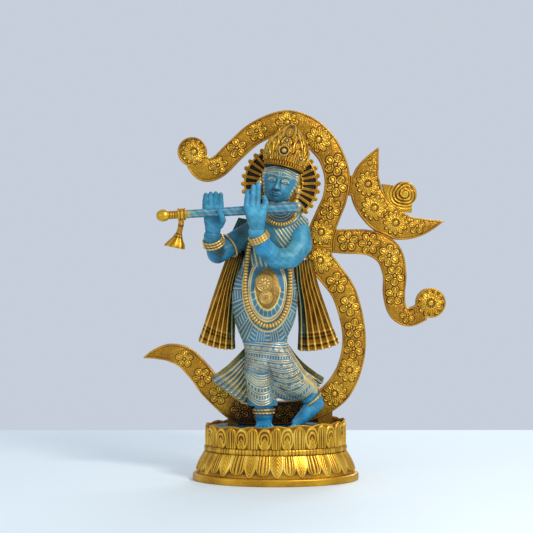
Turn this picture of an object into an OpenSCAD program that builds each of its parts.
// Cast brass temple figure: a flute player in dance pose before an Om-shaped
// frame, on a hollow oval lotus pedestal. The castings are brazed, studded and
// screwed together. Millimetres, +Z up, the figure faces -Y, and the origin is
// the centre of the pedestal's foot.

/* [Pedestal] */
// Half-width of the foot rim
foot_rx = 63; // [58:1:68]
// Depth of the pedestal as a share of its width
oval = 0.667; // [0.64:0.001:0.7]
// Height of the foot rim
foot_h = 5.5; // [3.5:0.5:5.5]
// Height at which the deck's top lies
deck_z = 40; // [39.5:0.1:40.5]
// Number of petals in each row
petals = 36; // [24:2:36]
// Wall of the hollow pedestal
wall = 3; // [2:0.5:3.5]

/* [Frame] */
// Thickness of the frame castings
frame_t = 9; // [7:0.5:10]
// Distance of the frame's front face behind the centre
frame_y = 8; // [8:0.5:9]

/* [Halo] */
// Radius of the halo disc
halo_r = 28; // [26:0.5:29]
// Number of beads on the halo's edge
halo_beads = 30; // [24:2:36]

/* [Flute] */
// Radius of the flute at the finial end
flute_r1 = 2.9; // [2.5:0.1:3.1]
// Radius of the flute at the mouth end
flute_r2 = 3.8; // [3.4:0.1:4]

/* [Fixings] */
// Radius of the studs under the deck
stud_r = 2; // [1.5:0.1:2.1]

/* [Hidden] */

gold = "#c8922a";
pale_gold = "#d9b25a";
blue = "#2f86c0";
steel = "#9aa0a6";
fine = 96;              // facets of the large ovals
soft_sides = 24;        // facets round a cast limb or trunk
gap = 0.05;             // room left in a brazed or screwed seat

// ---- paths and outlines -------------------------------------------------

function mix(a, b, t) = a + (b - a) * t;
function curve4(a, b, c, d, t) =
    0.5 * (2 * b + (c - a) * t + (2 * a - 5 * b + 4 * c - d) * t * t
        + (3 * b - a - 3 * c + d) * t * t * t);
// A smooth line through the knots, with n steps between two of them
function smooth(k, n) = [
    for (i = [0 : len(k) - 2], j = [0 : n - 1])
        curve4(k[max(i - 1, 0)], k[i], k[i + 1], k[min(i + 2, len(k) - 1)], j / n),
    k[len(k) - 1]
];
function unit2(v) = v / max(norm(v), 0.0001);
function heading(p, i) =
    let (a = p[max(i - 1, 0)], b = p[min(i + 1, len(p) - 1)]) unit2([b[0] - a[0], b[1] - a[1]]);
// One side of a band whose points are [x, z, width]
function side_of(p, s) = [
    for (i = [0 : len(p) - 1])
        let (d = heading(p, i)) [p[i][0] - s * d[1] * p[i][2] / 2, p[i][1] + s * d[0] * p[i][2] / 2]
];
function back_order(v) = [for (i = [len(v) - 1 : -1 : 0]) v[i]];
function band(p) = concat(side_of(p, 1), back_order(side_of(p, -1)));
function part_of(p, a, b) = [for (i = [a : b]) p[i]];

// A plate standing in the XZ plane, its front face at y
module plate(y, t) translate([0, y + t, 0]) rotate([90, 0, 0]) linear_extrude(t) children();

function oval_points(rx, n = fine) = [for (i = [0 : n - 1]) [rx * cos(i * 360 / n), rx * oval * sin(i * 360 / n)]];

// A solid through level rings [x, y, z, half-width, half-depth]
module ring_loft(rings, sides = soft_sides) {
    n = len(rings);
    points = [for (r = rings, i = [0 : sides - 1])
        [r[0] + r[3] * cos(i * 360 / sides), r[1] + r[4] * sin(i * 360 / sides), r[2]]];
    walls = [for (k = [0 : n - 2], i = [0 : sides - 1])
        [k * sides + i, (k + 1) * sides + i, (k + 1) * sides + (i + 1) % sides, k * sides + (i + 1) % sides]];
    polyhedron(points, concat([[for (i = [0 : sides - 1]) i]], walls,
        [[for (i = [sides - 1 : -1 : 0]) (n - 1) * sides + i]]));
}

// A limb of round stations [x, y, z, radius]
module limb(stations, n = 16) for (i = [0 : len(stations) - 2]) hull() for (s = [stations[i], stations[i + 1]])
    translate([s[0], s[1], s[2]]) sphere(s[3], $fn = n);

// A casting filed to sit on its neighbours
module seated() resize([0, 0, 0]) difference() { children(0); children([1 : $children - 1]); }

module along(from, to, r1, r2) {
    d = to - from;
    translate(from) rotate([0, acos(d[2] / norm(d)), atan2(d[1], d[0])]) cylinder(h = norm(d), r1 = r1, r2 = r2, $fn = 48);
}

// ---- pedestal -----------------------------------------------------------

shell_foot = foot_rx - 3.5;
waist_z = 22;
bead_z = 26.6;
shell_waist = shell_foot - 7.5;
shell_neck = shell_foot - 7.8;
shell_top = shell_foot - 7;
shell_profile = [[shell_foot, foot_h], [shell_waist, waist_z], [shell_neck, bead_z], [shell_top, deck_z]];
deck_t = 3;
deck_rx = shell_top - wall - gap;
stud_at = [[-33, 12], [38, 12], [-9, -14], [16, -14]];

module foot_rim() color(gold) linear_extrude(foot_h) difference() {
    polygon(oval_points(foot_rx));
    polygon(oval_points(foot_rx - wall - 4.5));
}

module base_shell() color(gold) scale([1, oval, 1]) rotate_extrude($fn = fine) polygon(concat(
    shell_profile, [for (p = back_order(shell_profile)) [p[0] - wall, p[1]]]));

// A row of petals round the shell, pointed at the end where t is tip
module petal_row(z0, z1, r0, r1, swell, tip, wave, lean = 0, rows = 4) {
    n = petals * 4;
    out = [for (k = [0 : rows], i = [0 : n - 1]) let (
            t = k / rows, a = i * 360 / n, across = abs(cos(i * 180 / 4)),
            reach = 1 - abs(t - tip) * 0.9,
            lobe = max(0, across - 0.75 * pow(1 - abs(t - tip), 3)) * (0.45 + 0.55 * sin(180 * reach * 0.7)),
            r = mix(r0, r1, t) + 0.7 + swell * lobe)
        [r * cos(a), r * oval * sin(a), mix(z0, z1, t) - wave * t * (1 - across) + lean * t * cos(a)]];
    inside = [for (k = [0 : 1], i = [0 : n - 1]) let (a = i * 360 / n, r = (k == 0 ? r0 : r1) + gap)
        [r * cos(a), r * oval * sin(a), mix(z0, z1, k) - wave * k * (1 - abs(cos(i * 180 / 4))) + lean * k * cos(a)]];
    m = (rows + 1) * n;
    function quad(a, b, i) = [a + i, a + (i + 1) % n, b + (i + 1) % n, b + i];
    polyhedron(concat(out, inside), concat(
        [for (k = [0 : rows - 1], i = [0 : n - 1]) back_order(quad(k * n, (k + 1) * n, i))],
        [for (i = [0 : n - 1]) quad(m, m + n, i)],
        [for (i = [0 : n - 1]) quad(0, m, i)],
        [for (i = [0 : n - 1]) back_order(quad(rows * n, m + n, i))]));
}
rim_z = deck_z + 4.2;     // in the middle: the rim stands higher on one side than on the other
rim_r = mix(shell_neck, shell_top, (rim_z - bead_z) / (deck_z - bead_z));
module lower_petals() color(gold) petal_row(foot_h, waist_z, shell_foot, shell_waist, 2.2, 0, 0);
module upper_petals() color(gold) petal_row(bead_z, rim_z, shell_neck, rim_r, 1.7, 1, 1.4, 1.7);

module bead_ring() color(gold) resize([0, 0, 0]) scale([1, oval, 1]) rotate_extrude($fn = 60) polygon(concat(
    [for (a = [-90 : 45 : 90]) [shell_waist + 0.3 + 1.6 * cos(a), mix(waist_z, bead_z, 0.5 + 0.5 * sin(a))]],
    [[shell_neck + 0.14, bead_z], [shell_waist + 0.14, waist_z]]));

module deck_plate() color(gold) translate([0, 0, deck_z - deck_t]) linear_extrude(deck_t) difference() {
    polygon(oval_points(deck_rx));
    for (p = stud_at) translate(p) circle(stud_r + 0.1, $fn = 48);
}

washer_t = 1;
nut_t = 3.2;
module deck_washers() color(steel) for (p = stud_at) translate([p[0], p[1], deck_z - deck_t - washer_t])
    linear_extrude(washer_t) difference() {
        circle(stud_r + 3, $fn = 48);
        circle(stud_r + 0.1, $fn = 48);
    }
module deck_nuts() color(steel) for (p = stud_at) translate([p[0], p[1], deck_z - deck_t - washer_t - nut_t])
    linear_extrude(nut_t) difference() {
        circle(stud_r * 2, $fn = 6);
        circle(stud_r + gap, $fn = 48);
    }
stud_foot = deck_z - deck_t - washer_t - nut_t - 1.5;
module stud(i, grip = 3) translate([stud_at[i][0], stud_at[i][1], stud_foot])
    cylinder(h = deck_z - stud_foot + grip, r = stud_r, $fn = 48);

// ---- frame --------------------------------------------------------------

// Knots are [x, z, width]. One line runs from the top left curl, over the head,
// through the waist and round the lower bowl to the pointed tail.
line_knots = [[-62, 242, 15], [-54, 234.8, 18], [-43.5, 237.5, 16.8], [-30.5, 250, 16.2], [-15, 263, 17],
    [5, 270.8, 18], [20, 268, 19.5], [32.5, 258.5, 21], [42, 246, 19.6], [47, 230, 19.6], [45.5, 214, 18.6],
    [40, 200, 19.2], [34.8, 187, 20], [32.8, 176, 20.5], [34, 165.5, 20.5], [41.5, 156, 19.6],
    [53, 139, 18.8], [60, 110, 17.8], [57.4, 85.5, 18.5], [46.5, 65, 20], [27, 52.5, 18], [5, 49, 17.6],
    [-24, 49.6, 20], [-46.6, 66.2, 18.4], [-57.5, 79.5, 17.2], [-68.5, 90.8, 16.4], [-80.5, 95, 13.6],
    [-92, 94, 7.6], [-101, 91.2, 0.6]];
waist_knot = 13;
arm_knots = [[34, 181, 17], [50, 180.2, 18.6], [72, 179, 19.5], [86, 171, 20.5], [91, 155.5, 18],
    [90.6, 140, 16.6], [93.5, 127, 14.6], [102, 122.3, 14.4], [113, 126.5, 14]];
crescent_knots = [[78.6, 251.8, 0.6], [73, 240.5, 12.4], [69, 229, 20.5], [70, 216, 24.5], [77.5, 203.5, 25],
    [89.5, 194.2, 24], [101.5, 190.6, 18], [114.5, 192, 11.4], [128.4, 195.6, 0.6]];
curl_at = [-63.5, 248.5];
curl_r = 11.2;
hook_at = [118.6, 133.2];
hook_r = 11.4;
rose_at = [98, 216.2];
rose_r = 9.6;
steps = 6;
line_path = smooth(line_knots, steps);
line_left = side_of(line_path, 1);
line_right = side_of(line_path, -1);
cut_at = waist_knot * steps;

module line_piece(a, b) polygon(concat(part_of(line_left, a, b), back_order(part_of(line_right, a, b))));
module upper_outline() {
    line_piece(0, cut_at);
    translate(curl_at) circle(curl_r, $fn = 64);
    translate([-52.4, 242.6]) circle(2.4, $fn = 32);
}
module lower_outline() difference() {
    line_piece(cut_at, len(line_path) - 1);
    translate([-60, 0]) square([120, deck_z + gap]);
}
module arm_outline() {
    polygon(band(smooth(arm_knots, steps)));
    translate(hook_at) circle(hook_r, $fn = 64);
}
module crescent_outline() polygon(band(smooth(crescent_knots, steps)));

// Cast flowers [x, z, radius, petals] stand proud of the front face
flower_rise = 1.2;
upper_flowers = [[-62.5, 248.3, 8.6, 12], [-44, 238.4, 6.4, 5], [-29.5, 251.4, 6.4, 5], [-14.6, 264, 6.8, 6],
    [7, 270.5, 7.4, 8], [32.4, 258, 8.8, 10], [45.6, 238.5, 7.6, 5], [46, 222.5, 7.6, 5], [41.2, 204, 7.6, 6],
    [34, 186.4, 8.2, 12]];
lower_flowers = [[34, 163.8, 8.2, 12], [47.6, 147.4, 7.6, 5], [57.4, 128.6, 7.6, 5], [59.6, 107, 7.6, 5],
    [57, 86, 8.2, 10], [44.8, 63.6, 8.6, 10], [20, 51, 6.6, 5], [2, 49.4, 6.6, 5], [-23, 51.4, 6.8, 5],
    [-41.4, 63, 6.8, 5], [-54.6, 76.4, 6.8, 5], [-69, 91, 6.4, 5]];
arm_flowers = [[54.8, 180.2, 7.4, 5], [71.4, 179, 7.8, 6], [86, 168.4, 8, 6], [90.6, 152, 7.2, 5],
    [91, 136.6, 6.8, 5], [102.4, 122.8, 5.4, 5], [118.4, 133, 9.4, 12]];
crescent_flowers = [[70.2, 223, 8.6, 12], [75.4, 205.4, 8.6, 12], [91, 193.6, 8.6, 12]];
module flower(r, n) {
    k = n * (n > 7 ? 4 : 6);
    polygon([for (i = [0 : k - 1]) let (a = i * 360 / k, m = r * (0.7 + 0.3 * abs(cos(a * n / 2))))
        [m * cos(a), m * sin(a)]]);
}
module flowers(list) for (f = list) plate(frame_y - flower_rise, flower_rise + 0.5)
    translate([f[0], f[1]]) flower(f[2], f[3]);

module upper_bowl() color(gold) {
    difference() {
        plate(frame_y, frame_t) upper_outline();
        strap_screw_solids(0.1);
    }
    flowers(upper_flowers);
}
module lower_bowl() color(gold) {
    difference() {
        plate(frame_y, frame_t) lower_outline();
        strap_screw_solids(0.1);
    }
    flowers(lower_flowers);
}
module frame_arm() color(gold) {
    plate(frame_y, frame_t) difference() {
        arm_outline();
        upper_outline();
        lower_outline();
    }
    flowers(arm_flowers);
}
module crescent() color(gold) {
    plate(frame_y, frame_t) difference() {
        union() {
            crescent_outline();
            polygon([[52, 230], [64, 231], [64, 215], [50, 215.5]]);
        }
        upper_outline();
        arm_outline();
    }
    flowers(crescent_flowers);
}
module rose_bindu() color(gold) {
    plate(frame_y, frame_t) difference() {
        union() {
            translate(rose_at) circle(rose_r, $fn = 64);
            polygon([[81, 224], [89, 223], [104, 208], [104, 202], [88, 204]]);
        }
        crescent_outline();
    }
    for (k = [0 : 2]) plate(frame_y - 0.9 * (k + 1), 1.4) translate(rose_at) rotate(20 * k) flower(rose_r - 1.2 - 2.4 * k, 5 - k);
}

lug_w = [7, 11];
module frame_lugs() color(gold) for (i = [0, 1]) {
    difference() {
        translate([stud_at[i][0] - lug_w[i] / 2, frame_y, deck_z]) cube([lug_w[i], frame_t, 12]);
        plate(frame_y - 1, frame_t + 2) lower_outline();
    }
    stud(i, 1.6);
}

// ---- lower figure -------------------------------------------------------

hip_rings = smooth([[-5.5, -8.5, 94, 17.5, 13], [-7.5, -8.5, 102, 16.4, 13], [-8.7, -9, 109, 18, 13.6],
    [-8.3, -9.6, 119, 22, 14.2], [-8.3, -9.8, 131, 24.4, 14.6], [-8.1, -9.4, 141, 24.4, 14.2], [-8, -8.8, 150, 23, 13.4]], 2);
module hip_solid() ring_loft(hip_rings);
module hip_wrap() color(blue) hip_solid();

standing_rings = smooth([[-10, -13, 57.5, 11.6, 11], [-11, -12, 66, 10.6, 10.4], [-12, -11, 76, 11, 11],
    [-12, -10, 86, 11.8, 12], [-9, -8.5, 94, 13.5, 13]], 3);
module standing_solid() ring_loft(standing_rings);
module standing_leg_wrap() color(blue) standing_solid();

crossed_stations = [[-1, -10.5, 98, 11.4], [5.6, -13.6, 86, 11.8], [13.6, -14, 75, 11.4], [23, -11.5, 69, 9.4]];
module crossed_solid() {
    limb(crossed_stations);
    hull() for (s = [[1, -13, 86, 9], [0.6, -12, 67, 4], [12, -13, 65, 5], [25, -11, 68, 6]]) translate([s[0], s[1], s[2]]) sphere(s[3], $fn = 16);
}
module crossed_leg_wrap() color(blue) seated() {
    crossed_solid();
    union() { hip_solid(); standing_solid(); }
}

// A pleated sheet between two edges of [x, z] knots, its folds standing forward of y
module pleated(a, b, folds, y, t, depth, steps = 2) {
    p = smooth(a, steps);
    q = smooth(b, steps);
    rows = len(p);
    cols = folds * 4;
    w = cols + 1;
    function at(i, j, y) = [mix(p[i][0], q[i][0], j / cols), y, mix(p[i][1], q[i][1], j / cols)];
    function fold(i, j) = depth * (0.3 + 0.7 * i / (rows - 1)) * abs(sin(j * 45));
    front = [for (i = [0 : rows - 1], j = [0 : cols]) at(i, j, y - fold(i, j))];
    rear = [for (i = [0 : rows - 1], j = [0 : cols]) at(i, j, y + t)];
    m = rows * w;
    polyhedron(concat(front, rear), concat(
        [for (i = [0 : rows - 2], j = [0 : cols - 1]) [i * w + j, i * w + j + 1, (i + 1) * w + j + 1, (i + 1) * w + j]],
        [for (i = [0 : rows - 2], j = [0 : cols - 1]) [m + (i + 1) * w + j, m + (i + 1) * w + j + 1, m + i * w + j + 1, m + i * w + j]],
        [for (j = [0 : cols - 1]) [m + j, m + j + 1, j + 1, j]],
        [for (j = [0 : cols - 1]) [(rows - 1) * w + j, (rows - 1) * w + j + 1, m + (rows - 1) * w + j + 1, m + (rows - 1) * w + j]],
        [for (i = [0 : rows - 2]) [i * w, (i + 1) * w, m + (i + 1) * w, m + i * w]],
        [for (i = [0 : rows - 2]) [m + i * w + cols, m + (i + 1) * w + cols, (i + 1) * w + cols, i * w + cols]]));
}
module right_skirt_fan() color(blue) seated() {
    pleated([[-20, 98], [-27, 91], [-36, 83], [-47.5, 76]], [[-14, 92], [-15, 80], [-18, 68], [-23, 58.4]], 8, -8, 7, 2.4);
    union() { hip_solid(); standing_solid(); }
}
module left_skirt_fan() color(blue) seated() {
    pleated([[10, 78], [14, 74], [20, 69], [26, 64.4]], [[5, 103], [14, 91], [24, 82], [35.4, 74.4]], 6, -6, 6, 2);
    union() { hip_solid(); standing_solid(); crossed_solid(); }
}

// Five toes side by side from the first root to the last, each of radius r
module toes(first, last, reach, r) for (i = [0 : 4]) {
    root = mix(first, last, i / 4);
    hull() {
        translate(root) sphere(r * (1 - 0.09 * i), $fn = 8);
        translate(root + reach * (1 - 0.1 * i)) sphere(r * (0.9 - 0.09 * i), $fn = 8);
    }
}
standing_ankle = [[-8.8, -13, 60, 7.4], [-8.8, -13.5, 50, 6.6], [-8.8, -12.5, 46, 6.2]];
crossed_ankle = [[25.5, -12, 64, 7.4], [30, -11.5, 58.5, 6.4], [23, -14.5, 51, 5.4], [15.6, -17, 44.2, 4]];
module standing_foot_solid() {
    limb(standing_ankle);
    hull() {
        translate([-8.8, -11, 44]) sphere(5, $fn = 16);
        translate([-5, -20.5, 42.6]) sphere(2.6, $fn = 16);
        translate([-13, -19.5, 42.4]) sphere(2.4, $fn = 16);
    }
    toes([-3.6, -21.5, 42.2], [-14.4, -19.8, 41.8], [0.6, -5, -0.6], 2.3);
}
module standing_foot() color(blue) {
    seated() {
        standing_foot_solid();
        union() { standing_solid(); translate([-50, -50, deck_z - 20]) cube([100, 100, 20]); }
    }
    stud(2);
}
module crossed_foot_solid() {
    limb(crossed_ankle);
    toes([13.6, -20, 42.4], [17, -14.4, 43], [-3.2, -1.4, -1.8], 1.9);
}
module crossed_foot() color(blue) {
    seated() {
        crossed_foot_solid();
        union() { crossed_solid(); translate([-50, -50, deck_z - 20]) cube([100, 100, 20]); }
    }
    stud(3);
}
// A round bangle square to the limb, at share t of the way from station i to the next
module bangle(stations, i, t, wire = 0.8) {
    a = stations[i];
    b = stations[i + 1];
    d = [b[0] - a[0], b[1] - a[1], b[2] - a[2]];
    r = mix(a[3], b[3], t) + wire + gap;
    translate([mix(a[0], b[0], t), mix(a[1], b[1], t), mix(a[2], b[2], t)])
        rotate([0, acos(d[2] / norm(d)), atan2(d[1], d[0])]) rotate_extrude($fn = 48) translate([r, 0]) circle(wire, $fn = 24);
}
module anklets() color(pale_gold) {
    for (t = [0.6, 0.84]) bangle(standing_ankle, 0, t);
    bangle(crossed_ankle, 0, 0.5);
}

// ---- upper figure -------------------------------------------------------

torso_rings = smooth([[-8, -8.8, 150, 23, 13.4], [-6.5, -8, 162, 19.2, 12.4], [-4.5, -8, 172, 18.6, 12.9],
    [-2, -8.2, 181, 20.6, 12.9], [1, -9, 190, 23, 11], [2.8, -9, 197, 21.5, 10.6], [3.4, -8.6, 201.5, 14, 9],
    [3.4, -8.4, 205, 8.6, 7.8], [3.4, -8.5, 211, 7.8, 7.4]], 2);
module torso_solid() ring_loft(torso_rings);

right_arm_stations = [[-14, -7, 189, 9], [-30, -11, 180, 8.4], [-43.5, -18, 171.5, 7.9], [-47.4, -25.5, 184, 6.2]];
left_arm_stations = [[16.6, -9, 187.5, 9.6], [18.6, -15, 177.5, 8.8], [11.5, -22, 168, 7.8], [0, -27.5, 167.6, 7.6],
    [-8.6, -32, 175.4, 7.2], [-14.4, -36.4, 187, 6.1]];
module right_arm_solid() limb(right_arm_stations);
module left_arm_solid() limb(left_arm_stations);

module torso() color(blue) seated() { torso_solid(); strap_screw_solids(0.1); }
module right_arm() color(blue) seated() { right_arm_solid(); torso_solid(); }
module left_arm() color(blue) seated() { left_arm_solid(); union() { torso_solid(); hip_solid(); } }

flute_from = [-72.5, -34.2, 200];
flute_to = [18.5, -27.5, 205.6];
module flute_solid(room = 0) along(flute_from, flute_to, flute_r1 + room, flute_r2 + room);

// A finger as three stations from the knuckle to the tip
module finger(root, mid, tip, r) limb([[root[0], root[1], root[2], r], [mid[0], mid[1], mid[2], r * 0.95], [tip[0], tip[1], tip[2], r * 0.8]], 10);
module right_hand_solid() {
    hull() {
        translate([-46.6, -26, 188]) sphere(5.6, $fn = 16);
        translate([-51.2, -27.5, 204]) sphere(3.2, $fn = 16);
        translate([-41.6, -27.5, 204]) sphere(3.2, $fn = 16);
    }
    for (i = [0 : 3]) finger([-52.3 + 3.9 * i, -27.5, 204], [-52.4 + 3.9 * i, -28, 210], [-51.8 + 3.7 * i, -29, 216 - abs(i - 1.6) * 0.8], 2.2);
    finger([-41, -28, 192], [-38.8, -35, 196], [-41.4, -38, 203], 2.4);
}
module left_hand_solid() {
    hull() {
        translate([-14, -37.5, 191]) sphere(5.4, $fn = 16);
        translate([-20.4, -37.6, 204]) sphere(3.6, $fn = 16);
        translate([-10, -37.6, 204]) sphere(3.6, $fn = 16);
    }
    finger([-21.6, -38.5, 205], [-21.2, -36.5, 212], [-20.8, -34, 217], 2.3);
    finger([-17.6, -39, 206], [-17, -37, 214], [-16.4, -34.5, 220.6], 2.3);
    finger([-13.6, -39, 206], [-13.2, -37, 214.5], [-12.6, -34.5, 222.4], 2.3);
    finger([-9, -38, 203], [-7.2, -37, 208.5], [-8.6, -33.5, 212.5], 2.4);
}
module right_hand() color(blue) seated() { right_hand_solid(); union() { right_arm_solid(); flute_solid(gap); } }
module left_hand() color(blue) seated() { left_hand_solid(); union() { left_arm_solid(); flute_solid(gap); } }

module bracelets() color(pale_gold) for (t = [0.56, 0.7, 0.84]) {
    bangle(right_arm_stations, 2, t);
    bangle(left_arm_stations, 4, t);
}
module armlets() color(pale_gold) bangle(right_arm_stations, 1, 0.35);

// The shawl hangs behind the right arm, and its two ends fall as pleated tails
module shawl_back() color(blue) pleated([[-23.6, 196], [-23.5, 190], [-23.6, 178], [-24, 166]],
    [[-26, 197.5], [-30, 190], [-36, 178], [-35, 166]], 3, 1, 3, 1.5);
module right_sash_tail() color(gold) seated() {
    pleated([[-36.5, 165.9], [-41, 152], [-48, 134], [-58.4, 106]], [[-25, 165.9], [-30, 148], [-31.4, 124], [-30.4, 99.6]], 6, -2, 4.6, 2.6);
    union() { right_arm_solid(); hip_solid(); torso_solid(); }
}
module left_sash_tail() color(gold) seated() {
    pleated([[14.6, 164], [15.6, 148], [17.4, 128], [16.6, 98.6]], [[27.4, 164], [31, 147], [38, 128], [48.2, 104]], 6, -2, 4.6, 2.6);
    union() { left_arm_solid(); torso_solid(); hip_solid(); }
}

// ---- head ---------------------------------------------------------------

head_tilt = 12;
head_at = [0.2, -10.5, 209];
back_y = 2.1;           // the backs of head and crown are filed flat here
module on_head() translate(head_at) rotate([0, head_tilt, -8]) children();
module behind() translate([-60, back_y, 180]) cube([140, 40, 120]);
module ball(at, size, n = 14) translate(at) scale(size) sphere(1, $fn = n);
module head_solid() on_head() {
    ball([0, 0.6, 19.4], [14, 12.8, 15.4], 28);
    ball([0, -2.4, 11], [10, 9.4, 10.6], 24);
    hull() {
        ball([0, -11.6, 17.4], [1, 1.6, 1]);
        ball([0, -13, 13.2], [1.9, 1.6, 1.2]);
    }
    for (s = [-1, 1]) ball([s * 13.6, 1, 14.6], [1.3, 2.2, 4.6]);
}
module head() color(blue) seated() {
    head_solid();
    union() {
        translate([3.4, -8.5, 196]) cylinder(h = 15, r = 13, $fn = 48);
        behind();
        translate([halo_at[0], back_y - 5, halo_at[2]]) rotate([-90, 0, 0]) cylinder(h = 8, r = 1.6, $fn = 32);
    }
}

crown_profile = [[0, 25.6], [14.6, 25.6], [15.2, 27], [14.8, 29.4], [16, 32.5], [16.6, 37], [15.4, 39.6],
    [15.2, 43], [13.2, 46.6], [11, 49.6], [8, 53], [5, 55.6], [3.4, 57.6], [1.6, 59.6], [0, 60.2]];
// The crown leans back from the brow
module on_brow() on_head() translate([0, 0, 25.6]) rotate([-9, 0, 0]) translate([0, 0, -25.6]) children();
module jewel_solids(room = 0) on_brow() {
    translate([0, -14.6, 35.4]) rotate([90, 0, 0]) cylinder(h = 3, r = 4.2 + room, $fn = 20);
    translate([0, -12.4, 44.6]) rotate([78, 0, 0]) cylinder(h = 3, r = 3 + room, $fn = 20);
    for (s = [-1, 1]) translate([s * 10, -10.8, 33.6]) rotate([90, 0, s * 42]) cylinder(h = 2.6, r = 2.6 + room, $fn = 20);
}
module crown() color(gold) seated() {
    on_brow() {
        rotate_extrude($fn = 24) polygon(crown_profile);
        for (a = [-90 : 30 : 90]) rotate(a) translate([0, -14.4, 36]) rotate([80, 0, 0]) scale([3.4, 6.4, 2]) sphere(1, $fn = 8);
    }
    union() {
        head_solid();
        behind();
        jewel_solids(gap);
    }
}
module crown_jewel() color(pale_gold) jewel_solids();
module earrings() color(pale_gold) on_head() for (s = [-1, 1]) translate([s * 14, 1, 0]) {
    translate([0, 0, 8.2]) sphere(1.8, $fn = 32);
    translate([0, 0, 2.4]) cylinder(h = 4.8, r1 = 2, r2 = 1.1, $fn = 32);
}

halo_at = [4, 2.9, 224];
halo_t = 2.6;
module halo_disc() color(gold) translate(halo_at) rotate([-90, 0, 0]) difference() {
    union() {
        cylinder(h = halo_t, r = halo_r, $fn = 96);
        for (i = [0 : halo_beads - 1]) rotate(i * 360 / halo_beads) {
            translate([halo_r + 0.7, 0, 0]) cylinder(h = halo_t, r = 1.7, $fn = 32);
            translate([17, -0.8, -0.7]) cube([halo_r - 18.5, 1.6, 1]);
        }
    }
    translate([0, 0, -1]) cylinder(h = halo_t + 2, r = 1.6, $fn = 48);
}
module halo_screw() color(steel) translate([halo_at[0], halo_at[1] + halo_t, halo_at[2]]) rotate([-90, 0, 0]) {
    cylinder(h = 1.4, r = 2.8, $fn = 48);
    translate([0, 0, -halo_t - 3]) cylinder(h = halo_t + 3, r = 1.5, $fn = 48);
}

// ---- jewellery ----------------------------------------------------------

// A round cord bent along the points, as a swept tube
module tube(p, r, sides = 8) {
    n = len(p);
    function dir(i) = let (d = p[min(i + 1, n - 1)] - p[max(i - 1, 0)]) d / norm(d);
    points = [for (i = [0 : n - 1], j = [0 : sides - 1]) let (
            d = dir(i), u = cross([0, 1, 0], d) / norm(cross([0, 1, 0], d)), v = cross(d, u), a = j * 360 / sides)
        p[i] + r * (cos(a) * u + sin(a) * v)];
    polyhedron(points, concat([[for (j = [sides - 1 : -1 : 0]) j]],
        [for (i = [0 : n - 2], j = [0 : sides - 1]) [i * sides + j, i * sides + (j + 1) % sides, (i + 1) * sides + (j + 1) % sides, (i + 1) * sides + j]],
        [[for (j = [0 : sides - 1]) (n - 1) * sides + j]]));
}
// The long garland lies on the front of the body from shoulder to shoulder
garland_knots = [[-13, -18.6, 192], [-19, -18.2, 180], [-21.5, -18.6, 164], [-23, -20.6, 147], [-20.5, -22.6, 131],
    [-14, -25, 121], [-5.5, -25.8, 117.5], [3, -25, 121.5], [8.5, -22.4, 132], [11, -19.8, 148], [10.5, -18.4, 160]];
module long_garland() color(pale_gold) seated() {
    tube(smooth(garland_knots, 3), 1.5);
    union() { torso_solid(); hip_solid(); left_arm_solid(); right_arm_solid(); }
}
necklace_knots = [[-8.2, -15.6, 201.3], [-6.4, -19.6, 197.3], [-1.2, -21.7, 193.9], [4.2, -22.2, 192.8], [9.2, -21.6, 194.2], [13.2, -19.1, 197.7], [14.6, -15.1, 201.3]];
module necklace() color(pale_gold) seated() { tube(smooth(necklace_knots, 3), 1.4); torso_solid(); }
module pendants() color(pale_gold) seated() {
    union() {
        translate([-8.6, -21, 149]) rotate([90, 0, 0]) cylinder(h = 4.6, r = 6.4, $fn = 48);
        translate([-7.4, -22, 138.6]) rotate([90, 0, 0]) cylinder(h = 3.8, r = 5, $fn = 48);
    }
    union() { torso_solid(); hip_solid(); }
}

// ---- flute --------------------------------------------------------------

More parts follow.
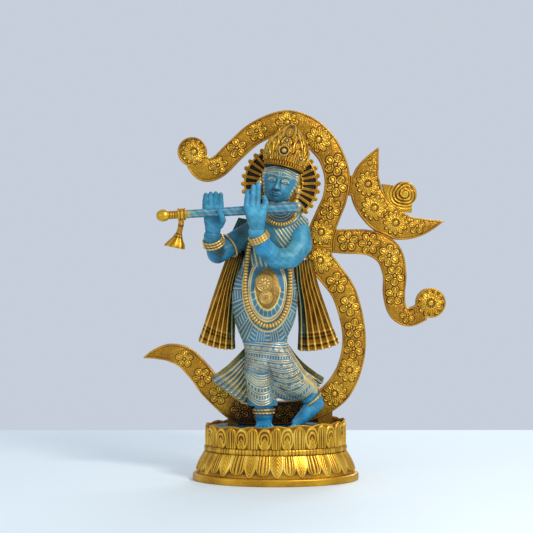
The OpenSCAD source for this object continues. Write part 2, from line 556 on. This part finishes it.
flute_dir = (flute_to - flute_from) / norm(flute_to - flute_from);
collar_w = 6;
module flute_tube() color(blue) flute_solid();
module flute_collar() color(gold) difference() {
    along(flute_from, flute_from + flute_dir * collar_w, 5, 4.2);
    flute_solid(gap);
}
module flute_finial() color(gold) {
    tip = flute_from - flute_dir * 15.6;
    along(flute_from - flute_dir * 10, flute_from, 3.6, 3);
    difference() {
        translate(flute_from - flute_dir * 11.4) scale([5, 4.3, 4.3]) sphere(1, $fn = 48);
        along(flute_from - flute_dir * 10, flute_from + flute_dir, 9, 9);
    }
}
tassel_knots = [[0, 0, -4.4, 2.4, 2.4], [-0.6, 0, -9, 2.8, 2.5], [-2, 0, -15, 4, 3.2], [-3.8, 0, -20, 6, 4], [-5, 0, -24.5, 8, 5]];
module flute_tassel() color(gold) seated() {
    translate(flute_from + flute_dir * collar_w / 2) ring_loft(back_order(smooth(tassel_knots, 3)), 20);
    along(flute_from - flute_dir * 12, flute_from + flute_dir * (collar_w + 4), 5.02, 5.02);
}

// ---- fixings ------------------------------------------------------------

// A strap holds the figure's back to the waist of the frame
strap_z = [172.7, 177.1];
strap_y = 5;
strap_screws_at = [[3, -1], [25.2, 1]];   // x, and which way the screw goes in
module strap_screw_solids(room = 0) for (s = strap_screws_at)
    translate([s[0], s[1] > 0 ? strap_y : frame_y, (strap_z[0] + strap_z[1]) / 2]) rotate([s[1] > 0 ? -90 : 90, 0, 0])
        cylinder(h = frame_y - strap_y + 4, r = 1.2 + room, $fn = 32);
module back_strap() color(gold) difference() {
    translate([0, strap_y, strap_z[0]]) cube([30, frame_y - strap_y, strap_z[1] - strap_z[0]]);
    strap_screw_solids(0.1);
}
module strap_screws() color(steel) {
    strap_screw_solids();
    for (s = strap_screws_at) translate([s[0], s[1] > 0 ? strap_y : frame_y, (strap_z[0] + strap_z[1]) / 2])
        rotate([s[1] > 0 ? 90 : -90, 0, 0]) cylinder(h = 1.2, r = 2.1, $fn = 32);
}

foot_rim();
base_shell();
lower_petals();
bead_ring();
upper_petals();
deck_plate();
deck_washers();
deck_nuts();
frame_lugs();
lower_bowl();
upper_bowl();
frame_arm();
crescent();
rose_bindu();
hip_wrap();
standing_leg_wrap();
crossed_leg_wrap();
right_skirt_fan();
left_skirt_fan();
standing_foot();
crossed_foot();
anklets();
torso();
shawl_back();
right_sash_tail();
left_sash_tail();
right_arm();
right_hand();
left_arm();
left_hand();
bracelets();
armlets();
head();
crown();
crown_jewel();
earrings();
halo_disc();
halo_screw();
necklace();
long_garland();
pendants();
flute_tube();
flute_finial();
flute_collar();
flute_tassel();
back_strap();
strap_screws();
